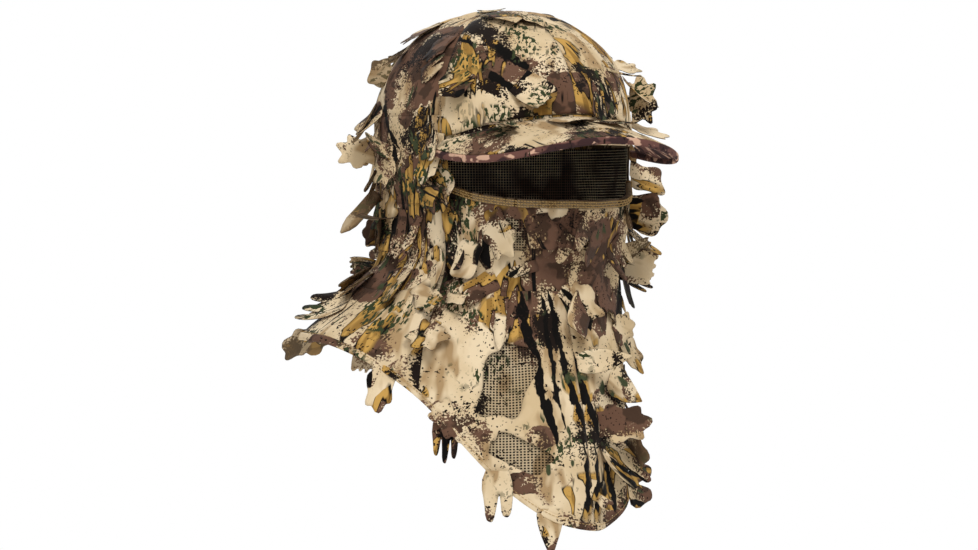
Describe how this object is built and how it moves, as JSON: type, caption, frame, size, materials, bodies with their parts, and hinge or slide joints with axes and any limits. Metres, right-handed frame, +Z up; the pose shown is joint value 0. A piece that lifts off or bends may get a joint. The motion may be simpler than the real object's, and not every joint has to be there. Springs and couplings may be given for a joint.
{
  "type": "leafy camouflage hood",
  "caption": "Soft camouflage hunting hood: panelled crown with a stiffened brim, an eye window, a face mask, a shoulder drape and a chest bib, covered in sewn cloth leaves.",
  "frame": {"origin": "middle of the wearer's head at the sweatband, where the hood sits on the head", "axes": "+Z up; the face looks along -Y; +X is the wearer's left"},
  "size_m": [0.2831, 0.3036, 0.4422],
  "materials": {
    "leafy_cloth": "matte laser-cut polyester printed in tan, brown, bark and gold",
    "mesh_lining": "printed open polyester mesh",
    "hem_binding": "folded hem with three rows of cover stitch",
    "brim_under_cloth": "plum-brown printed twill",
    "brim_board": "flexible plastic sheet",
    "sweatband_cloth": "brushed knit",
    "elastic": "covered flat elastic"
  },
  "bodies": {
    "hood": {"crown_front_left_panel": "leafy_cloth", "crown_side_left_panel": "leafy_cloth", "crown_back_left_panel": "leafy_cloth", "crown_back_right_panel": "leafy_cloth", "crown_side_right_panel": "leafy_cloth", "crown_front_right_panel": "leafy_cloth", "sweatband": "sweatband_cloth", "brow_band": "leafy_cloth", "mask_right_panel": "leafy_cloth", "mask_left_panel": "leafy_cloth", "mask_mesh_liner": "mesh_lining", "temple_left_panel": "leafy_cloth", "cheek_left_panel": "leafy_cloth", "side_left_mesh_liner": "mesh_lining", "back_left_panel": "leafy_cloth", "back_left_mesh_liner": "mesh_lining", "temple_right_panel": "leafy_cloth", "cheek_right_panel": "leafy_cloth", "side_right_mesh_liner": "mesh_lining", "back_right_panel": "leafy_cloth", "back_right_mesh_liner": "mesh_lining", "eye_hem": "hem_binding", "eye_hem_elastic": "elastic", "shoulder_right_panel": "leafy_cloth", "shoulder_left_panel": "leafy_cloth", "nape_left_panel": "leafy_cloth", "nape_right_panel": "leafy_cloth", "shoulder_right_hem": "hem_binding", "shoulder_left_hem": "hem_binding", "nape_hem": "hem_binding"},
    "brim": {"brim_board": "brim_board", "brim_top_cover": "leafy_cloth", "brim_under_cover": "brim_under_cloth", "brim_edge_binding": "brim_under_cloth"},
    "bib": {"bib_right_panel": "leafy_cloth", "bib_left_panel": "leafy_cloth", "bib_mesh_liner": "mesh_lining", "bib_hem": "hem_binding"},
    "leaf_temple_right": {"leaf_temple_right": "leafy_cloth"},
    "leaf_ear_strap_right": {"leaf_ear_strap_right": "leafy_cloth"},
    "leaf_jaw_right": {"leaf_jaw_right": "leafy_cloth"},
    "leaf_crown_right": {"leaf_crown_right": "leafy_cloth"},
    "leaf_crown_left": {"leaf_crown_left": "leafy_cloth"},
    "leaf_cheek_left_upper": {"leaf_cheek_left_upper": "leafy_cloth"},
    "leaf_cheek_left_lower": {"leaf_cheek_left_lower": "leafy_cloth"},
    "leaf_bib_left_point": {"leaf_bib_left_point": "leafy_cloth"},
    "leaf_bib_left_lobed": {"leaf_bib_left_lobed": "leafy_cloth"},
    "leaf_shoulder_right_hem": {"leaf_shoulder_right_hem": "leafy_cloth"},
    "leaf_bib_hem_outer": {"leaf_bib_hem_outer": "leafy_cloth"},
    "leaf_bib_hem_fingers": {"leaf_bib_hem_fingers": "leafy_cloth"},
    "leaf_bib_hem_single": {"leaf_bib_hem_single": "leafy_cloth"},
    "leaf_nape_left": {"leaf_nape_left": "leafy_cloth"},
    "leaf_nape_right": {"leaf_nape_right": "leafy_cloth"}
  },
  "joints": [
    {"name": "brim_flex", "type": "hinge", "parent": "hood", "child": "brim", "pos_m": [0, -0.1192, 0.01], "axis": [-1, 0, 0], "range_deg": [-6, 15]},
    {"name": "bib_lift", "type": "hinge", "parent": "hood", "child": "bib", "pos_m": [0, -0.1045, -0.1288], "axis": [-1, 0, 0], "range_deg": [0, 45]},
    {"name": "swing_temple_right", "type": "hinge", "parent": "hood", "child": "leaf_temple_right", "pos_m": [-0.08784, 0.05925, -0.014], "axis": [0, 0, 1], "range_deg": [-35, 30]},
    {"name": "swing_ear_strap_right", "type": "hinge", "parent": "hood", "child": "leaf_ear_strap_right", "pos_m": [-0.09808, 0.03963, -0.05], "axis": [0, 0, 1], "range_deg": [-20, 20]},
    {"name": "swing_jaw_right", "type": "hinge", "parent": "hood", "child": "leaf_jaw_right", "pos_m": [-0.07693, 0.06455, -0.08], "axis": [0, 0, 1], "range_deg": [-15, 25]},
    {"name": "swing_crown_right", "type": "hinge", "parent": "hood", "child": "leaf_crown_right", "pos_m": [-0.08721, 0.03883, 0.05], "axis": [0, 0, 1], "range_deg": [-35, 30]},
    {"name": "swing_crown_left", "type": "hinge", "parent": "hood", "child": "leaf_crown_left", "pos_m": [0.08679, -0.05854, 0.03], "axis": [0, 0, 1], "range_deg": [-40, 30]},
    {"name": "swing_cheek_left_upper", "type": "hinge", "parent": "hood", "child": "leaf_cheek_left_upper", "pos_m": [0.08312, -0.06039, -0.064], "axis": [0, 0, 1], "range_deg": [-40, 35]},
    {"name": "swing_cheek_left_lower", "type": "hinge", "parent": "hood", "child": "leaf_cheek_left_lower", "pos_m": [0.07984, -0.05801, -0.106], "axis": [0, 0, 1], "range_deg": [-40, 35]},
    {"name": "swing_bib_left_point", "type": "hinge", "parent": "bib", "child": "leaf_bib_left_point", "pos_m": [0.00412, -0.11807, -0.186], "axis": [0, 0, 1], "range_deg": [-50, 12]},
    {"name": "swing_bib_left_lobed", "type": "hinge", "parent": "bib", "child": "leaf_bib_left_lobed", "pos_m": [0.01757, -0.125, -0.234], "axis": [0, 0, 1], "range_deg": [-50, 15]},
    {"name": "swing_shoulder_right_hem", "type": "hinge", "parent": "hood", "child": "leaf_shoulder_right_hem", "pos_m": [-0.1432, -0.05657, -0.18417], "axis": [-0.7721, 0.6327, 0.0601], "range_deg": [0, 40]},
    {"name": "swing_bib_hem_outer", "type": "hinge", "parent": "bib", "child": "leaf_bib_hem_outer", "pos_m": [-0.10462, -0.08902, -0.22731], "axis": [-0.8501, 0.5257, 0.031], "range_deg": [0, 40]},
    {"name": "swing_bib_hem_fingers", "type": "hinge", "parent": "bib", "child": "leaf_bib_hem_fingers", "pos_m": [-0.07293, -0.11655, -0.27175], "axis": [-0.8334, 0.5527, -0.0025], "range_deg": [0, 40]},
    {"name": "swing_bib_hem_single", "type": "hinge", "parent": "bib", "child": "leaf_bib_hem_single", "pos_m": [-0.03738, -0.1389, -0.30227], "axis": [-0.9511, 0.3089, -0.0042], "range_deg": [0, 40]},
    {"name": "swing_nape_left", "type": "hinge", "parent": "hood", "child": "leaf_nape_left", "pos_m": [0.0437, 0.09456, -0.16056], "axis": [0.9493, -0.3139, 0.0173], "range_deg": [0, 40]},
    {"name": "swing_nape_right", "type": "hinge", "parent": "hood", "child": "leaf_nape_right", "pos_m": [-0.05984, 0.11531, -0.16042], "axis": [0.9944, 0.0508, -0.0923], "range_deg": [0, 40]}
  ]
}
